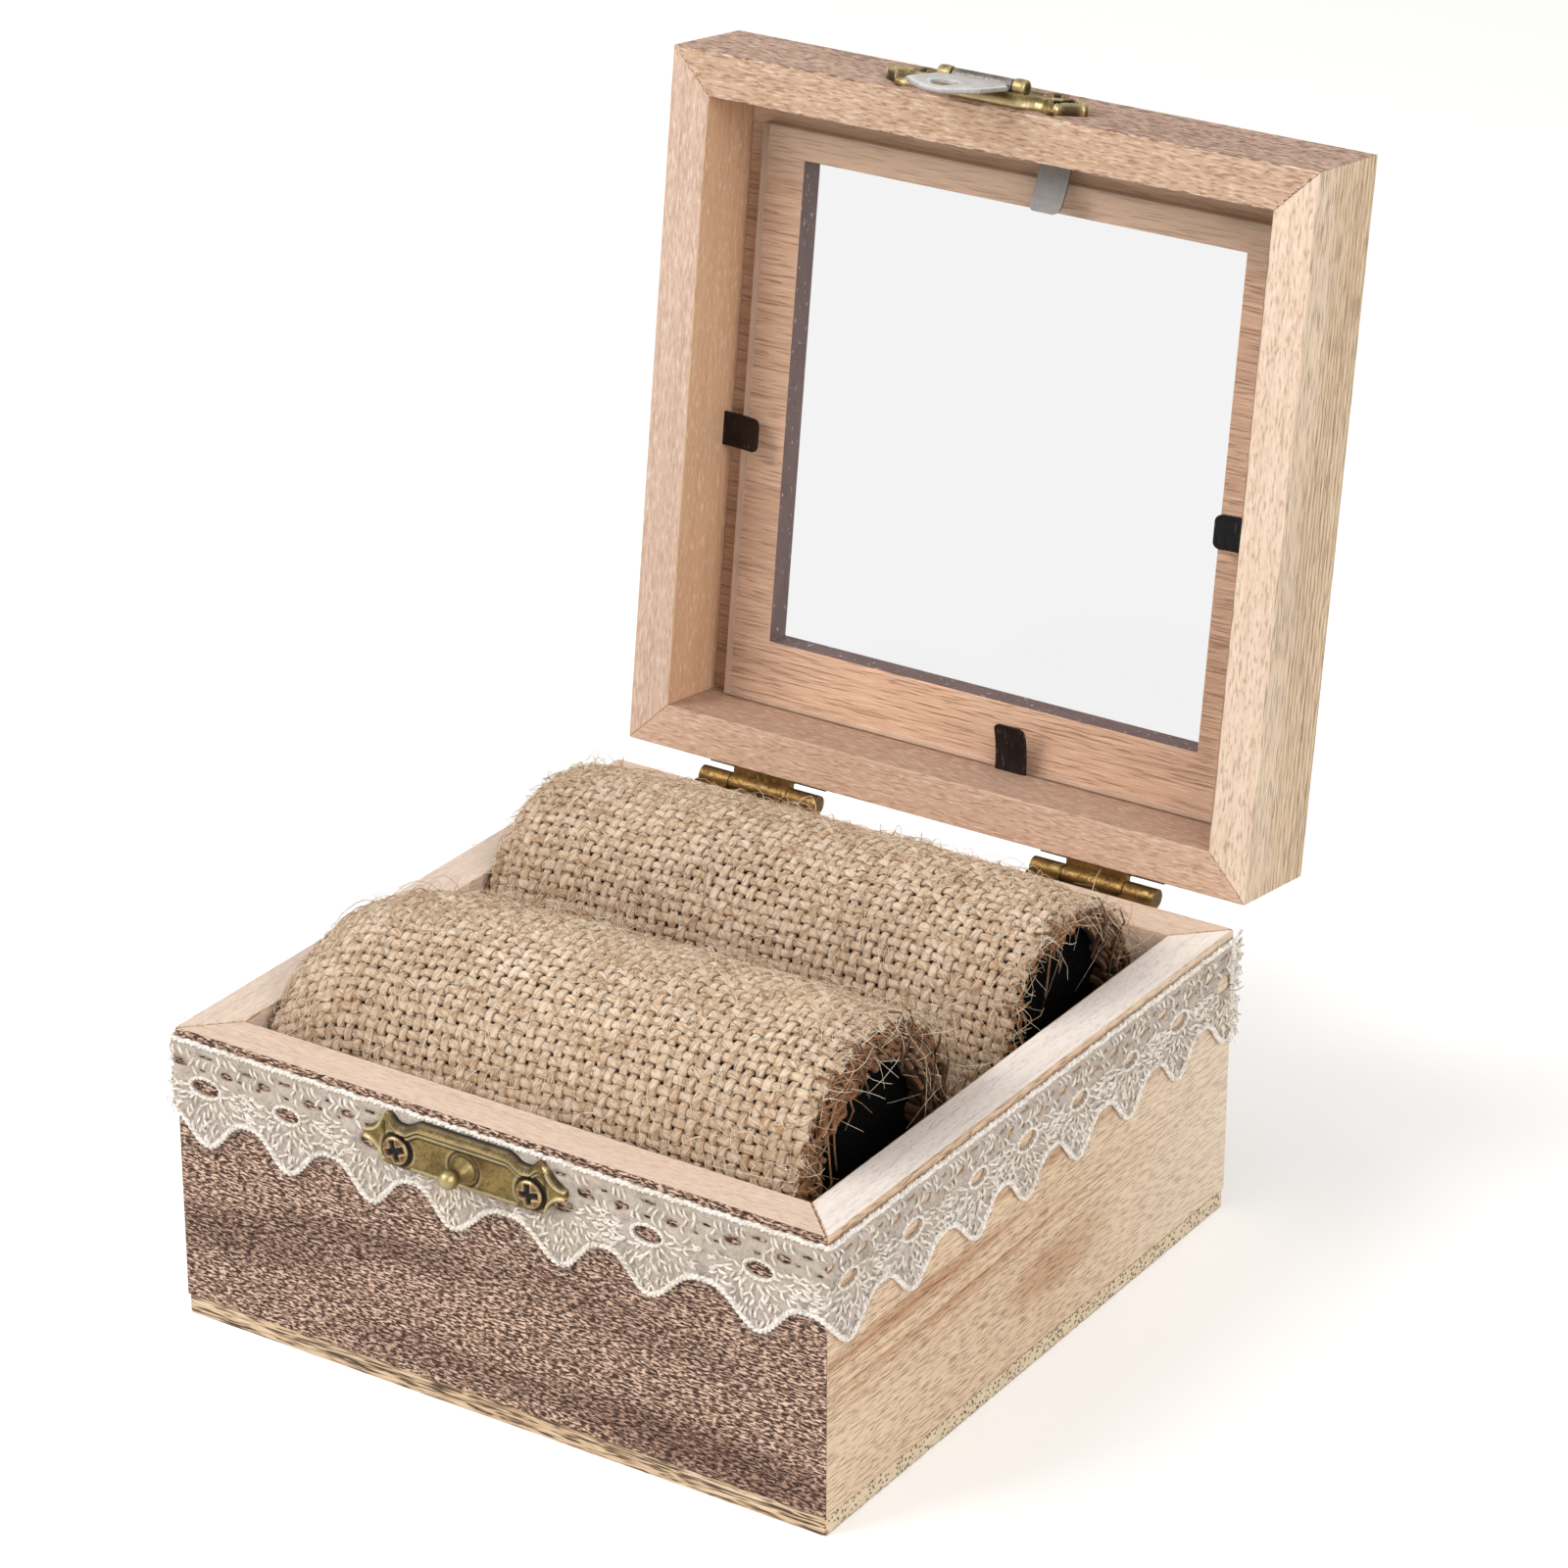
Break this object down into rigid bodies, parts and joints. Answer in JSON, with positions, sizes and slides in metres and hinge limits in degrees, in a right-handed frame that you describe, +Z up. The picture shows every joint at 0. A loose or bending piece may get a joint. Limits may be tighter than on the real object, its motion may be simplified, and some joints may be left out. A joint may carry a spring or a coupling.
{
  "type": "ring display box",
  "caption": "Square wooden ring box with a hinged window lid, a hasp latch, a lace trim and burlap rolls that hold rings in a slot.",
  "frame": {"origin": "centre of the bottom panel's underside, where the box rests", "axes": "+Z up; -Y towards the front, where the latch is; +X to the viewer's right when facing the front; the lid is at rest open, leaning back"},
  "size_m": [0.1012, 0.1372, 0.1487],
  "materials": {
    "dark_board": "unfinished grey-brown pine, dark streaks and a small knot",
    "light_board": "unfinished light pine with long tan stripes",
    "plywood_panel": "thin pale board with end grain at its edges",
    "lid_rail": "unfinished pinkish pine, sanded",
    "window_wood": "unfinished brown board with level grain and a dark cut edge",
    "clear_pane": "clear polished sheet",
    "cotton_lace": "off-white crocheted cotton",
    "burlap": "coarse plain-weave jute with stray hairs",
    "black_foam": "soft black foam",
    "aged_brass": "antiqued, darker in its hollows",
    "bright_metal": "worn bright plating",
    "spring_steel": "dark blued strip"
  },
  "bodies": {
    "base": {"bottom_panel": "plywood_panel", "base_front_wall": "dark_board", "base_rear_wall": "light_board", "base_left_wall": "light_board", "base_right_wall": "light_board", "lace_ribbon": "cotton_lace", "front_foam_roll": "black_foam", "rear_foam_roll": "black_foam", "front_roll_cover": "burlap", "rear_roll_cover": "burlap", "catch_plate": "aged_brass", "catch_stud": "aged_brass", "catch_screw_left": "aged_brass", "catch_screw_right": "aged_brass", "hinge_base_leaf_left": "aged_brass", "hinge_base_leaf_right": "aged_brass", "hinge_pin_left": "aged_brass", "hinge_pin_right": "aged_brass", "hinge_base_screws_left": "aged_brass", "hinge_base_screws_right": "aged_brass"},
    "lid": {"lid_front_rail": "lid_rail", "lid_rear_rail": "lid_rail", "lid_left_rail": "lid_rail", "lid_right_rail": "lid_rail", "window_panel": "window_wood", "window_pane": "clear_pane", "pane_tab_left": "spring_steel", "pane_tab_right": "spring_steel", "pane_tab_front": "spring_steel", "pane_tab_rear": "spring_steel", "hinge_lid_leaf_left": "aged_brass", "hinge_lid_leaf_right": "aged_brass", "hinge_lid_screws_left": "aged_brass", "hinge_lid_screws_right": "aged_brass", "hasp_plate": "aged_brass", "hasp_screw_left": "aged_brass", "hasp_screw_right": "aged_brass", "hasp_pin": "bright_metal"},
    "hasp": {"hasp_flap": "bright_metal"}
  },
  "joints": [
    {"name": "lid_hinge", "type": "hinge", "parent": "base", "child": "lid", "pos_m": [0, 0.05235, 0.0422], "axis": [1, 0, 0], "range_deg": [0, 97.3], "deforming": ["front_foam_roll", "rear_foam_roll", "front_roll_cover", "rear_roll_cover"]},
    {"name": "hasp_pivot", "type": "hinge", "parent": "lid", "child": "hasp", "pos_m": [-0.0031, 0.06983, 0.14557], "axis": [-1, 0, 0], "range_deg": [-5, 155]}
  ]
}
